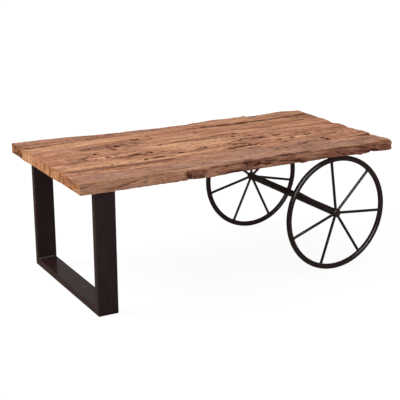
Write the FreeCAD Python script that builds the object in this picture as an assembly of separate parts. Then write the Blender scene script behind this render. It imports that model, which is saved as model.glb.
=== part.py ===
import FreeCAD, Part

import math
import os

# Coffee table: a top of seven old planks, dowelled edge to edge, on a welded
# leg frame of rectangular steel tube at one end and a pair of fixed spoked
# wheels on one axle at the other. The wheel rims carry the top through steel
# plates. Millimetres. X runs from the leg end to the wheel end, Y from the near
# side to the far side, Z is up, and the origin is on the floor under the middle
# of the top.

# Table top
top_length = 1214.0
top_width = 634.0
top_thickness = 34.0
edge_wear = 2.0

# Dowels across the plank joints
dowel_diameter = 10.0
dowel_length = 40.0
dowel_chamfer = 1.0
dowel_clearance = 0.1
dowel_end_clearance = 0.5

# Leg frame
tube_width = 72.0
tube_depth = 25.0
tube_wall = 2.5
tube_corner = 3.0
leg_frame_width = 580.0
leg_inset = 57.0
leg_plate_thickness = 5.0
leg_weld_leg = 5.0

# Wheels and axle
wheel_diameter = 420.0
wheel_track = 580.0
wheel_centre_from_leg_end = 987.0
rim_bar = 19.0
spoke_bar = 10.0
spoke_count = 7
near_spoke_turn_share = 0.1286
far_spoke_turn_share = 0.1089
hub_diameter = 29.0
hub_length = 20.0
hub_chamfer = 1.5
axle_bar = 26.0
axle_proud = 1.5
axle_clearance = 0.1

# Plates between the rims and the top
wheel_plate_length = 100.0
wheel_plate_width = 52.0
wheel_plate_thickness = 5.0
wheel_plate_corner = 6.0
rim_seat_depth = 1.0
rim_weld_length = 60.0
rim_weld_depth = 3.0
wheel_plate_screw_count = 3

# Screws up into the planks
screw_shank = 5.0
screw_length = 25.0
screw_tip = 4.0
screw_head = 10.0
screw_head_height = 3.0
screw_clearance = 0.1
plate_hole_clearance = 0.4

overrun = 10.0

# Where the plank joints lie across the width, and how far each plank's top lies
# below the highest, as a share of the thickness.
plank_joint_shares = [0.0, 0.181, 0.276, 0.402, 0.552, 0.702, 0.846, 1.0]
plank_drop_shares = [0.03, 0.0, 0.02, 0.0, 0.03, 0.01, 0.0]

# The ragged wheel end of each plank, from its near side to its far side: how
# far across the plank, and how far along the top it reaches there.
plank_end_shares = [
    [(0.0, 0.985), (0.25, 0.991), (0.60, 0.986), (1.0, 0.978)],
    [(0.0, 0.984), (0.30, 0.991), (0.60, 0.991), (1.0, 0.991)],
    [(0.0, 0.991), (0.50, 0.986), (1.0, 0.984)],
    [(0.0, 0.980), (0.40, 0.988), (0.80, 0.991), (1.0, 0.984)],
    [(0.0, 0.981), (0.50, 0.989), (1.0, 0.992)],
    [(0.0, 0.987), (0.40, 0.992), (1.0, 0.996)],
    [(0.0, 0.996), (0.50, 1.000), (1.0, 0.996)],
]

# The weathered long edges, as places along the length and across the width.
near_edge_shares = [(0.0, 0.0), (0.34, 0.0), (0.47, 0.004), (0.60, 0.001), (0.78, 0.005), (0.90, 0.003)]
far_edge_shares = [
    (0.0, 1.0),
    (0.165, 1.0),
    (0.29, 0.968),
    (0.38, 0.963),
    (0.48, 0.947),
    (0.58, 0.948),
    (0.68, 0.976),
    (0.755, 0.981),
    (0.790, 0.997),
    (0.812, 0.970),
    (0.860, 0.978),
    (0.935, 0.997),
]
straight_points = 2

dowel_place_shares = [0.15, 0.38, 0.62, 0.90]
leg_screw_row_shares = [-0.3, 0.3]
wheel_screw_row_share = 0.5
weld_crown_share = 0.62
flat_share = 1e-6

# Heights and places that follow from the sizes above
underside = wheel_diameter + wheel_plate_thickness - rim_seat_depth
table_height = underside + top_thickness
leg_end_x = -top_length / 2
near_edge_y = -top_width / 2
leg_x = leg_end_x + leg_inset
leg_top = underside - leg_plate_thickness
leg_half = leg_frame_width / 2
wheel_x = leg_end_x + wheel_centre_from_leg_end
wheel_radius = wheel_diameter / 2
rim_radius = wheel_radius - rim_bar / 2
plank_count = len(plank_end_shares)
dowel_height = underside + top_thickness / 2

NEAR = -1
FAR = 1
X_AXIS = FreeCAD.Vector(1, 0, 0)
Y_AXIS = FreeCAD.Vector(0, 1, 0)
Z_AXIS = FreeCAD.Vector(0, 0, 1)


def along(share):
    """The X of a share of the length, from the leg end."""
    return leg_end_x + share * top_length


def across(share):
    """The Y of a share of the width, from the near edge."""
    return near_edge_y + share * top_width


def cylinder(radius, length, start, axis):
    """A round bar of that length from a start point along an axis."""
    return Part.makeCylinder(radius, length, start, axis)


def straight(first, last):
    return Part.makeLine(first, last)


def curve_through(points):
    """A smooth curve through the points."""
    spline = Part.BSplineCurve()
    spline.interpolate(points)
    return spline.toShape()


def curve_from_straight(points, first, last):
    """A smooth curve through the points that leaves and arrives in the given directions."""
    spline = Part.BSplineCurve()
    spline.interpolate(Points=points, InitialTangent=first, FinalTangent=last)
    return spline.toShape()


def polygon_prism(points, depth):
    """The closed polygon through the points, carried along the vector depth."""
    loop = Part.makePolygon(points + [points[0]])
    return Part.Face(loop).extrude(depth)


def edges_along(shape, axis):
    """The straight edges of a shape that run along an axis."""
    found = []
    for edge in shape.Edges:
        if isinstance(edge.Curve, Part.Line) and edge.Curve.Direction.cross(axis).Length < flat_share:
            found.append(edge)
    return found


def edges_at_height(shape, height):
    """The edges of a shape that lie flat at one height."""
    tolerance = shape.BoundBox.DiagonalLength * flat_share
    found = []
    for edge in shape.Edges:
        box = edge.BoundBox
        if box.ZLength < tolerance and abs(box.ZMin - height) < tolerance:
            found.append(edge)
    return found


def screw(head_underside):
    """A pan-head wood screw that points up, from the underside of its head."""
    head_radius = screw_head / 2
    shank_radius = screw_shank / 2
    rim_height = -screw_head_height / 3
    dome_radius_share = 0.72
    profile = [
        Part.Arc(
            FreeCAD.Vector(0, 0, -screw_head_height),
            FreeCAD.Vector(head_radius * dome_radius_share, 0, -screw_head_height * dome_radius_share),
            FreeCAD.Vector(head_radius, 0, rim_height),
        ).toShape(),
        straight(FreeCAD.Vector(head_radius, 0, rim_height), FreeCAD.Vector(head_radius, 0, 0)),
        straight(FreeCAD.Vector(head_radius, 0, 0), FreeCAD.Vector(shank_radius, 0, 0)),
        straight(
            FreeCAD.Vector(shank_radius, 0, 0),
            FreeCAD.Vector(shank_radius, 0, screw_length - screw_tip),
        ),
        straight(
            FreeCAD.Vector(shank_radius, 0, screw_length - screw_tip),
            FreeCAD.Vector(0, 0, screw_length),
        ),
        straight(FreeCAD.Vector(0, 0, screw_length), FreeCAD.Vector(0, 0, -screw_head_height)),
    ]
    face = Part.Face(Part.Wire(profile))
    body = face.revolve(FreeCAD.Vector(0, 0, 0), Z_AXIS, math.degrees(math.tau))
    body.translate(head_underside)
    return body


def pilot_hole(head_underside):
    """The hole that a screw's shank fills, a little wider and deeper than it."""
    start = head_underside - Z_AXIS * overrun
    return cylinder(screw_shank / 2 + screw_clearance, screw_length + overrun + screw_clearance, start, Z_AXIS)


def plate_hole(head_underside, thickness):
    """The clearance hole for a screw through a plate of that thickness."""
    start = head_underside - Z_AXIS * overrun
    return cylinder(screw_shank / 2 + plate_hole_clearance, thickness + 2 * overrun, start, Z_AXIS)


# Places of the screws: a pair in each plank through the leg plate, and a row in
# each outer plank through the wheel plates, inboard of the rims.

def leg_screw_places():
    places = []
    inner_half = leg_half - tube_depth
    for number in range(plank_count):
        near = max(across(plank_joint_shares[number]), -inner_half)
        far = min(across(plank_joint_shares[number + 1]), inner_half)
        for row_share in leg_screw_row_shares:
            x = leg_x + tube_width * (1 + row_share) / 2
            places.append(FreeCAD.Vector(x, (near + far) / 2, leg_top))
    return places


def wheel_screw_places(side):
    """A row of screws under the plate of the wheel on one side."""
    places = []
    inboard = wheel_plate_width - rim_bar
    y = side * (wheel_track / 2 - rim_bar / 2 - inboard * wheel_screw_row_share)
    pitch = wheel_plate_length / wheel_plate_screw_count
    for number in range(wheel_plate_screw_count):
        x = wheel_x + pitch * (number - (wheel_plate_screw_count - 1) / 2)
        places.append(FreeCAD.Vector(x, y, underside - wheel_plate_thickness))
    return places


def plank_edge(number, side):
    """One long side of a plank from the leg end: the points before its wheel
    end, and the Y that its wheel end starts from."""
    if number == 0 and side == 0:
        table = near_edge_shares
    elif number == plank_count - 1 and side == 1:
        table = far_edge_shares
    else:
        joint = plank_joint_shares[number + side]
        return [FreeCAD.Vector(leg_end_x, across(joint), underside)], across(joint)
    points = [FreeCAD.Vector(along(x), across(y), underside) for x, y in table]
    return points, points[-1].y


def plank_side(points):
    """The edges of a long side: straight between the first two points, and a
    smooth curve through the rest."""
    if len(points) == straight_points:
        return [straight(points[0], points[1])]
    last_run = points[-1] - points[-2]
    return [straight(points[0], points[1]), curve_from_straight(points[1:], X_AXIS, last_run.normalize())]


def plank(number):
    """One plank: its outline carried up, its top edges worn, with the holes
    for its dowels and screws."""
    near_points, near_y = plank_edge(number, 0)
    far_points, far_y = plank_edge(number, 1)
    end_points = []
    for place_share, reach_share in plank_end_shares[number]:
        y = near_y + place_share * (far_y - near_y)
        end_points.append(FreeCAD.Vector(along(reach_share), y, underside))
    near_side = plank_side(near_points + [end_points[0]])
    far_side = plank_side(far_points + [end_points[-1]])
    far_side.reverse()
    wheel_end = [curve_through(end_points)]
    leg_end = [straight(far_points[0], near_points[0])]
    height = top_thickness * (1 - plank_drop_shares[number])
    body = Part.Face(Part.Wire(near_side + wheel_end + far_side + leg_end)).extrude(Z_AXIS * height)
    body = body.makeChamfer(edge_wear, edges_at_height(body, underside + height))
    for place in leg_screw_places() + wheel_screw_places(NEAR) + wheel_screw_places(FAR):
        if near_y < place.y < far_y:
            body = body.cut(pilot_hole(place))
    hole_depth = dowel_length / 2 + dowel_end_clearance
    for side in (0, 1):
        if 0 < number + side < plank_count:
            for share in dowel_place_shares:
                joint_y = across(plank_joint_shares[number + side])
                start = FreeCAD.Vector(along(share), joint_y - hole_depth, dowel_height)
                body = body.cut(cylinder(dowel_diameter / 2 + dowel_clearance, 2 * hole_depth, start, Y_AXIS))
    return body


def plank_dowels():
    """Four dowels in each joint between two planks."""
    dowels = []
    for joint in plank_joint_shares[1:-1]:
        for share in dowel_place_shares:
            start = FreeCAD.Vector(along(share), across(joint) - dowel_length / 2, dowel_height)
            dowel = cylinder(dowel_diameter / 2, dowel_length, start, Y_AXIS)
            ends = [edge for edge in dowel.Edges if isinstance(edge.Curve, Part.Circle)]
            dowels.append(dowel.makeChamfer(dowel_chamfer, ends))
    return Part.makeCompound(dowels)


def tube(corner, length_x, length_y, length_z, axis):
    """A rectangular tube along an axis, from its lowest corner."""
    outer = Part.makeBox(length_x, length_y, length_z, corner)
    outer = outer.makeFillet(tube_corner, edges_along(outer, axis))
    wall = FreeCAD.Vector(tube_wall, tube_wall, tube_wall)
    wall -= axis * (tube_wall + overrun)
    bore_x = length_x - 2 * wall.x
    bore_y = length_y - 2 * wall.y
    bore_z = length_z - 2 * wall.z
    bore = Part.makeBox(bore_x, bore_y, bore_z, corner + wall)
    bore = bore.makeFillet(tube_corner - tube_wall, edges_along(bore, axis))
    return outer.cut(bore)


def mitre_prism(points):
    """A prism across the tubes, from places across the width and up."""
    start_x = leg_x - overrun
    corners = [FreeCAD.Vector(start_x, y, z) for y, z in points]
    return polygon_prism(corners, X_AXIS * (tube_width + 2 * overrun))


def upright(side):
    """The upright tube of one side, mitred at its foot."""
    low_y = side * leg_half - (tube_depth if side == FAR else 0)
    corner = FreeCAD.Vector(leg_x, low_y, 0)
    body = tube(corner, tube_width, tube_depth, leg_top, Z_AXIS)
    outside = side * (leg_half + overrun)
    inside = side * (leg_half - tube_depth - overrun)
    mitre_end = tube_depth + overrun
    top = leg_top + overrun
    keep = mitre_prism([(outside, -overrun), (inside, mitre_end), (inside, top), (outside, top)])
    return body.common(keep)


def floor_bar():
    """The tube along the floor, mitred at both ends."""
    corner = FreeCAD.Vector(leg_x, -leg_half, 0)
    body = tube(corner, tube_width, leg_frame_width, tube_depth, Y_AXIS)
    low = leg_half + overrun
    high = leg_half - tube_depth - overrun
    mitre_end = tube_depth + overrun
    keep = mitre_prism([(-low, -overrun), (low, -overrun), (high, mitre_end), (-high, mitre_end)])
    return body.common(keep)


def leg_welds():
    """A crowned fillet weld in each inner corner of the frame."""
    welds = []
    inner = leg_half - tube_depth
    crown = leg_weld_leg * (1 - weld_crown_share)
    for side in (NEAR, FAR):
        start_x = leg_x + tube_corner
        corner = FreeCAD.Vector(start_x, side * inner, tube_depth)
        foot = FreeCAD.Vector(start_x, side * (inner - leg_weld_leg), tube_depth)
        head = FreeCAD.Vector(start_x, side * inner, tube_depth + leg_weld_leg)
        middle = FreeCAD.Vector(start_x, side * (inner - crown), tube_depth + crown)
        bead = Part.Wire([straight(corner, foot), Part.Arc(foot, middle, head).toShape(), straight(head, corner)])
        welds.append(Part.Face(bead).extrude(X_AXIS * (tube_width - 2 * tube_corner)))
    return Part.makeCompound(welds)


def leg_top_plate():
    """The drilled strip that closes the uprights and carries the planks."""
    corner = FreeCAD.Vector(leg_x, -leg_half, leg_top)
    body = Part.makeBox(tube_width, leg_frame_width, leg_plate_thickness, corner)
    body = body.makeFillet(tube_corner, edges_along(body, Z_AXIS))
    for place in leg_screw_places():
        body = body.cut(plate_hole(place, leg_plate_thickness))
    return body


def wheel_centre(side):
    """The middle of the wheel on one side."""
    return FreeCAD.Vector(wheel_x, side * wheel_track / 2, wheel_radius)


def rim(side):
    """A round bar bent to a ring."""
    return Part.makeTorus(rim_radius, rim_bar / 2, wheel_centre(side), Y_AXIS)


def hub_blank(side):
    start = wheel_centre(side) - Y_AXIS * (hub_length / 2)
    return cylinder(hub_diameter / 2, hub_length, start, Y_AXIS)


def hub(side):
    """A short sleeve on the axle with its outer corners broken."""
    blank = hub_blank(side)
    ends = [edge for edge in blank.Edges if isinstance(edge.Curve, Part.Circle)]
    blank = blank.makeChamfer(hub_chamfer, ends)
    start = wheel_centre(side) - Y_AXIS * hub_length
    return blank.cut(cylinder(axle_bar / 2 + axle_clearance, 2 * hub_length, start, Y_AXIS))


def spoke(side, turn_share):
    """A round bar from the hub to the rim, coped to both, at a share of a turn
    up from the X axis."""
    angle = turn_share * math.tau
    outward = FreeCAD.Vector(math.cos(angle), 0, math.sin(angle))
    start = wheel_centre(side) + outward * (hub_diameter / 2 - spoke_bar / 2)
    reach = rim_radius - hub_diameter / 2 + spoke_bar / 2
    bar = cylinder(spoke_bar / 2, reach, start, outward)
    return bar.cut(hub_blank(side)).cut(rim(side))


def axle():
    """The round bar that joins the two hubs."""
    length = wheel_track + hub_length + 2 * axle_proud
    start = FreeCAD.Vector(wheel_x, -length / 2, wheel_radius)
    bar = cylinder(axle_bar / 2, length, start, Y_AXIS)
    ends = [edge for edge in bar.Edges if isinstance(edge.Curve, Part.Circle)]
    return bar.makeChamfer(axle_proud, ends)


def wheel_plate(side):
    """A plate under the top with the weld that seats the rim, most of it
    inboard of the rim."""
    outer_y = side * (wheel_track / 2 + rim_bar / 2)
    low_y = min(outer_y, outer_y - side * wheel_plate_width)
    base = underside - wheel_plate_thickness
    corner = FreeCAD.Vector(wheel_x - wheel_plate_length / 2, low_y, base)
    body = Part.makeBox(wheel_plate_length, wheel_plate_width, wheel_plate_thickness, corner)
    body = body.makeFillet(wheel_plate_corner, edges_along(body, Z_AXIS))
    weld_y = side * wheel_track / 2 - rim_bar / 2
    weld_corner = FreeCAD.Vector(wheel_x - rim_weld_length / 2, weld_y, base - rim_weld_depth)
    weld = Part.makeBox(rim_weld_length, rim_bar, rim_weld_depth, weld_corner)
    weld = weld.makeChamfer(rim_weld_depth / 2, edges_at_height(weld, base - rim_weld_depth))
    body = body.fuse(weld).cut(rim(side))
    for place in wheel_screw_places(side):
        body = body.cut(plate_hole(place, wheel_plate_thickness))
    return body


def all_nodes():
    nodes = {}
    for number in range(plank_count):
        nodes["plank_%d" % (number + 1)] = plank(number)
    nodes["plank_dowels"] = plank_dowels()
    nodes["leg_upright_near"] = upright(NEAR)
    nodes["leg_upright_far"] = upright(FAR)
    nodes["leg_floor_bar"] = floor_bar()
    nodes["leg_top_plate"] = leg_top_plate()
    nodes["leg_corner_welds"] = leg_welds()
    nodes["leg_plate_screws"] = Part.makeCompound([screw(place) for place in leg_screw_places()])
    wheels = (("near", NEAR, near_spoke_turn_share), ("far", FAR, far_spoke_turn_share))
    for name, side, first_turn_share in wheels:
        nodes["rim_%s" % name] = rim(side)
        nodes["hub_%s" % name] = hub(side)
        for number in range(spoke_count):
            turn_share = first_turn_share + number / spoke_count
            nodes["spoke_%s_%d" % (name, number + 1)] = spoke(side, turn_share)
        nodes["wheel_plate_%s" % name] = wheel_plate(side)
    nodes["axle"] = axle()
    wheel_screws = [screw(place) for place in wheel_screw_places(NEAR) + wheel_screw_places(FAR)]
    nodes["wheel_plate_screws"] = Part.makeCompound(wheel_screws)
    return nodes


os.makedirs("parts", exist_ok=True)
for name, shape in all_nodes().items():
    shape.exportStep("parts/%s.step" % name)
    print(name, len(shape.Solids), "solids", round(shape.Volume), "mm3")
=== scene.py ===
import itertools
import math

import bpy
import numpy as np
from mathutils import Matrix, Vector


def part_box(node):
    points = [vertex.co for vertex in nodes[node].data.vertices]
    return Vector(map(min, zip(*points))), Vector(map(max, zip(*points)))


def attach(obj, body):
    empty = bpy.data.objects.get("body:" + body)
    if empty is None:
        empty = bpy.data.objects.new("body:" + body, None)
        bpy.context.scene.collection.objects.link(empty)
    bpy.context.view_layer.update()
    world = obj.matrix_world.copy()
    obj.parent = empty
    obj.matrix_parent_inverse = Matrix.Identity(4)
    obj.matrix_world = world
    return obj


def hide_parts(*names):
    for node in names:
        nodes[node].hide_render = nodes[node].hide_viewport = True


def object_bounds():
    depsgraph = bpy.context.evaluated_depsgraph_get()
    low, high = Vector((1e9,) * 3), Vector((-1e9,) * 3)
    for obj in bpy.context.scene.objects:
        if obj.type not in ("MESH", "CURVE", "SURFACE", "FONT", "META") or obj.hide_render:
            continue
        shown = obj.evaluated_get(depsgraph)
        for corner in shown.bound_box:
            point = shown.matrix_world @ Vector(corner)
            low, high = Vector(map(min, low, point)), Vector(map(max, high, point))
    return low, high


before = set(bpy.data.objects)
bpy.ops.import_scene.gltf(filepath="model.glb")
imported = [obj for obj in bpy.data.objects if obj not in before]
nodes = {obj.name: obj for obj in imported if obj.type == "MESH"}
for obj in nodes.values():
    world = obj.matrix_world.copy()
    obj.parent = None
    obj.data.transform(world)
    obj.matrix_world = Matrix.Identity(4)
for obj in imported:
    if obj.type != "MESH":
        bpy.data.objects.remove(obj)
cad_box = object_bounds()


# The studio: a white floor that runs out into white surroundings, three large
# soft lamps, and a long lens at standing height a few steps off the leg end.

class Wire:
    """One output of a shader node. Arithmetic on wires and numbers adds Math nodes."""

    def __init__(self, finish, node, output):
        self.finish = finish
        self.node = node
        self.socket = node.outputs[output]

    def at(self, output):
        """Another output of the same node."""
        return Wire(self.finish, self.node, output)

    def maths(self, operation, first, second):
        return self.finish.node("Math", {"operation": operation}, {0: first, 1: second})

    def __add__(self, other):
        return self.maths("ADD", self, other)

    def __radd__(self, other):
        return self.maths("ADD", other, self)

    def __sub__(self, other):
        return self.maths("SUBTRACT", self, other)

    def __rsub__(self, other):
        return self.maths("SUBTRACT", other, self)

    def __mul__(self, other):
        return self.maths("MULTIPLY", self, other)

    def __rmul__(self, other):
        return self.maths("MULTIPLY", other, self)

    def __pow__(self, other):
        return self.maths("POWER", self, other)

    def highest(self, other):
        return self.maths("MAXIMUM", self, other)


class Finish:
    """The node tree of a material or of the world, empty at first."""

    def __init__(self, owner):
        owner.use_nodes = True
        self.owner = owner
        self.tree = owner.node_tree
        self.tree.nodes.clear()

    def node(self, kind, settings=None, sockets=None, output=0):
        """Adds a node: its settings first, then its sockets' values or links."""
        node = self.tree.nodes.new("ShaderNode" + kind)
        for name, value in (settings or {}).items():
            setattr(node, name, value)
        for name, value in (sockets or {}).items():
            if isinstance(value, Wire):
                self.tree.links.new(value.socket, node.inputs[name])
            else:
                node.inputs[name].default_value = value
        return Wire(self, node, output)

    def end(self, kind, shader):
        """Ends the tree in the output node of its kind."""
        node = self.tree.nodes.new("ShaderNodeOutput" + kind)
        self.tree.links.new(shader.socket, node.inputs["Surface"])
        return self.owner

    def surface(self, sockets):
        """Ends a material in one principled shader."""
        return self.end("Material", self.node("BsdfPrincipled", sockets=sockets))


def seen_ray(finish):
    """1 for rays that show a surface itself: from the camera, in gloss or through glass."""
    ray = finish.node("LightPath", output="Is Camera Ray")
    return ray.highest(ray.at("Is Glossy Ray")).highest(ray.at("Is Transmission Ray"))


def studio_floor():
    """A plain white floor out to the horizon. Rays that show it see it as bright
    as the surroundings, but for a part near the table that is lit, so that the
    floor keeps the shadow."""
    floor_white = (0.8, 0.8, 0.8, 1.0)
    shown_white = (0.12, 0.12, 0.12, 1.0)
    near_glow = 0.922
    near_reach = 1.1
    far_reach = 3.2
    half = 30.0
    mesh = bpy.data.meshes.new("floor")
    corners = [(-half, -half, 0.0), (half, -half, 0.0), (half, half, 0.0), (-half, half, 0.0)]
    mesh.from_pydata(corners, [], [(0, 1, 2, 3)])
    floor = bpy.data.objects.new("floor", mesh)
    bpy.context.scene.collection.objects.link(floor)
    finish = Finish(bpy.data.materials.new("studio_floor"))
    plain = finish.node("BsdfDiffuse", sockets={"Color": floor_white})
    place = finish.node("TexCoord", output="Object")
    distance = finish.node("VectorMath", {"operation": "LENGTH"}, {0: place}, output="Value")
    reach = {"Value": distance, "From Min": near_reach, "From Max": far_reach, "To Min": near_glow}
    glow = finish.node("Emission", sockets={"Strength": finish.node("MapRange", sockets=reach)})
    lit = finish.node("BsdfDiffuse", sockets={"Color": shown_white})
    shown = finish.node("AddShader", sockets={0: glow, 1: lit})
    mix = finish.node("MixShader", sockets={0: seen_ray(finish), 1: plain, 2: shown})
    mesh.materials.append(finish.end("Material", mix))


def studio_light():
    """White surroundings, dimmer as a light than as a background, three large
    soft lamps, and a white screen beside the camera that only gloss shows: it
    draws the thin highlights along the round bars. Each lamp has a name, a place,
    the point it looks at, its size and its power."""
    ambient_strength = 0.42
    white = (1.0, 1.0, 1.0, 1.0)
    lamps = [
        ("lamp_key", (-2.4, 1.0, 2.6), (0.0, 0.0, 0.3), 1.5, 67.0),
        ("lamp_over", (0.8, -0.3, 2.8), (0.3, 0.0, 0.3), 2.2, 18.0),
        ("lamp_front", (0.6, -3.2, 1.5), (0.1, 0.0, 0.3), 1.6, 20.0),
        ("gloss_screen", (-0.56, -2.39, 1.81), (0.38, -0.29, 0.21), 3.0, 1000.0),
    ]
    world = bpy.data.worlds.new("studio")
    bpy.context.scene.world = world
    finish = Finish(world)
    ambient = finish.node("Background", sockets={"Color": white, "Strength": ambient_strength})
    shown = finish.node("Background", sockets={"Color": white, "Strength": 1.0})
    finish.end("World", finish.node("MixShader", sockets={0: seen_ray(finish), 1: ambient, 2: shown}))
    for name, place, target, size, power in lamps:
        lamp = bpy.data.lights.new(name, "AREA")
        lamp.shape = "DISK"
        lamp.size = size
        lamp.energy = power
        holder = bpy.data.objects.new(name, lamp)
        holder.location = place
        holder.rotation_euler = (Vector(target) - Vector(place)).to_track_quat("-Z", "Y").to_euler()
        holder.visible_camera = False
        holder.visible_diffuse = name != "gloss_screen"
        bpy.context.scene.collection.objects.link(holder)


def studio_camera():
    """A camera that looks back along its own Z axis at a point of the table."""
    azimuth = math.radians(-28.618)
    elevation = math.radians(16.530)
    roll = math.radians(-0.304)
    target = Vector((-0.1314, -0.2104, 0.3124))
    distance = 3.4889
    level = math.cos(elevation)
    back = Vector((math.sin(azimuth) * level, -math.cos(azimuth) * level, math.sin(elevation)))
    right = Vector((0.0, 0.0, 1.0)).cross(back).normalized()
    up = back.cross(right)
    rolled_right = math.cos(roll) * right + math.sin(roll) * up
    rolled_up = math.cos(roll) * up - math.sin(roll) * right
    lens = bpy.data.cameras.new("camera")
    lens.sensor_fit = "HORIZONTAL"
    lens.sensor_width = 36.0
    lens.lens = 92.50
    lens.clip_end = 100.0
    camera = bpy.data.objects.new("camera", lens)
    turn = Matrix((rolled_right, rolled_up, back)).transposed().to_4x4()
    camera.matrix_world = Matrix.Translation(target + distance * back) @ turn
    bpy.context.scene.collection.objects.link(camera)
    bpy.context.scene.camera = camera


bpy.context.scene.view_settings.view_transform = "Standard"
studio_floor()
studio_light()
studio_camera()


# The leg frame: rectangular steel tube, mitred and welded at the floor corners,
# closed by a drilled strip on top, and sprayed with black-brown satin lacquer.

def placed(finish):
    """The place of a point in the table's own frame."""
    return finish.node("TexCoord", output="Object")


def noise(place, stretch, detail=3.0, roughness=0.5):
    """Smooth noise from 0 to 1 with stretch features to the metre along X, Y and Z."""
    finish = place.finish
    scaled = finish.node("VectorMath", {"operation": "MULTIPLY"}, {0: place, 1: stretch})
    sockets = {"Vector": scaled, "Scale": 1.0, "Detail": detail, "Roughness": roughness}
    return finish.node("TexNoise", sockets=sockets)


def ramp(value, low, high):
    """0 below low, 1 above high, and a smooth step between."""
    sockets = {"Value": value, "From Min": low, "From Max": high, "To Min": 0.0, "To Max": 1.0}
    return value.finish.node("MapRange", {"interpolation_type": "SMOOTHSTEP"}, sockets)


def blend(factor, first, second):
    """The first colour where the factor is 0, and the second where it is 1. The
    Mix node's sockets go by number, since its colours share their names."""
    first_colour, second_colour, mixed_colour = 6, 7, 2
    sockets = {0: factor, first_colour: first, second_colour: second}
    return factor.finish.node("Mix", {"data_type": "RGBA"}, sockets, output=mixed_colour)


def bumped(height, distance, strength):
    """The surface's normal, tilted by a height from 0 to 1 of that distance."""
    sockets = {"Height": height, "Distance": distance, "Strength": strength}
    return height.finish.node("Bump", sockets=sockets)


floor_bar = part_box("leg_floor_bar")


def black_lacquer(name, thick, thin, sheen, smooth_above=None):
    """Black-brown satin lacquer: thin and thick patches, a fine orange peel
    that catches the light, and specks of dust. The outer faces at the leg end
    are painted lighter and browner, as painted light from the lamp on that side.
    Above a height, where one is given, feet have rubbed it smooth, and there
    is one scuff."""
    dust = (0.0620, 0.0450, 0.0380, 1.0)
    leg_end_light = (0.0420, 0.0245, 0.0195, 1.0)
    scuffed = (0.1300, 0.1000, 0.0950, 1.0)
    scuff = (-0.509, -0.075, floor_bar[1].z)
    scuff_inner, scuff_outer = 0.004, 0.009
    face = floor_bar[0].x
    leg_end_light_full, leg_end_light_none = face + 0.001, face + 0.003
    trodden_gloss, trodden_step = 0.15, 0.001
    finish = Finish(bpy.data.materials.new(name))
    place = placed(finish)
    parts = finish.node("SeparateXYZ", sockets={"Vector": place})
    patches = noise(place, (12.0, 12.0, 5.0), 4.0)
    mottle = noise(place, (70.0, 70.0, 40.0), 5.0, 0.6)
    peel = noise(place, (650.0, 650.0, 650.0), 2.0)
    specks = noise(place, (240.0, 240.0, 240.0), 1.0)
    colour = blend(ramp(patches * 0.6 + mottle * 0.4, 0.35, 0.65), thick, thin)
    # Painted light: the outer faces at the leg end, towards the key lamp, are painted lighter and browner.
    colour = blend(ramp(parts.at("X"), leg_end_light_none, leg_end_light_full), colour, leg_end_light)
    colour = blend(ramp(specks, 0.74, 0.80) * 0.5, colour, dust)
    if smooth_above is not None:
        away = finish.node("VectorMath", {"operation": "DISTANCE"}, {0: place, 1: scuff}, output="Value")
        colour = blend(ramp(away, scuff_outer, scuff_inner) * 0.5, colour, scuffed)
        above = ramp(parts.at("Z"), smooth_above, smooth_above + trodden_step)
        sheen = above * trodden_gloss + sheen
    return finish.surface({
        "Base Color": colour,
        "Roughness": 0.60 + mottle * 0.20,
        "Specular IOR Level": 0.0,
        "Coat Weight": sheen,
        "Coat Roughness": 0.16,
        "Normal": bumped(peel * 0.6 + mottle * 0.4, 0.0004, 0.35),
    })


def paint_node(name, material):
    """Gives a CAD node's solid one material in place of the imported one."""
    mesh = nodes[name].data
    mesh.materials.clear()
    mesh.materials.append(material)


thick_lacquer = (0.0222, 0.0138, 0.0136, 1.0)
thin_lacquer = (0.0315, 0.0198, 0.0190, 1.0)
trodden_thick = (0.0230, 0.0125, 0.0116, 1.0)
trodden_thin = (0.0325, 0.0165, 0.0155, 1.0)
# The weld beads' two colours, far lighter than the lacquer, are a painted highlight: the light line that
# the lit welds show along the inner corners.
weld_highlight_deep = (0.0600, 0.0520, 0.0500, 1.0)
weld_highlight_pale = (0.1300, 0.1150, 0.1100, 1.0)
plain_sheen = 0.06
weld_sheen = 0.30
trodden_from = floor_bar[1].z - 0.0015
lacquer = black_lacquer("black_lacquer", thick_lacquer, thin_lacquer, plain_sheen)
weld_highlight_lacquer = black_lacquer("weld_highlight_lacquer", weld_highlight_deep, weld_highlight_pale, weld_sheen)
trodden_lacquer = black_lacquer(
    "trodden_lacquer", trodden_thick, trodden_thin, plain_sheen, trodden_from
)
for name in ("leg_upright_near", "leg_upright_far", "leg_top_plate"):
    paint_node(name, lacquer)
paint_node("leg_floor_bar", trodden_lacquer)


def piece(name, points, faces, material, slot_name):
    """A smooth-shaded mesh from arrays of points and of faces, on the one body."""
    mesh = bpy.data.meshes.new(name)
    mesh.from_pydata(points.tolist(), [], faces.tolist())
    mesh.polygons.foreach_set("use_smooth", np.ones(len(faces), bool))
    mesh.materials.append(material)
    shown = bpy.data.objects.new(name, mesh)
    bpy.context.scene.collection.objects.link(shown)
    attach(shown, "root")
    return shown


def joined(parts):
    """The points and faces of several pairs of both, as one pair."""
    counts = [len(points) for points, faces in parts]
    starts = np.cumsum([0] + counts)
    points = np.concatenate([points for points, faces in parts])
    faces = np.concatenate([faces + start for (_, faces), start in zip(parts, starts)])
    return points, faces


def grid_faces(rows, columns):
    """Four-sided faces of a grid of rows by columns points whose columns close
    into a ring: each joins a point to its right, upper right and upper neighbour."""
    row, column = np.meshgrid(np.arange(rows - 1), np.arange(columns), indexing="ij")
    following = (column + 1) % columns
    corners = [
        row * columns + column,
        row * columns + following,
        (row + 1) * columns + following,
        (row + 1) * columns + column,
    ]
    return np.stack(corners, axis=-1).reshape(-1, 4)


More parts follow.
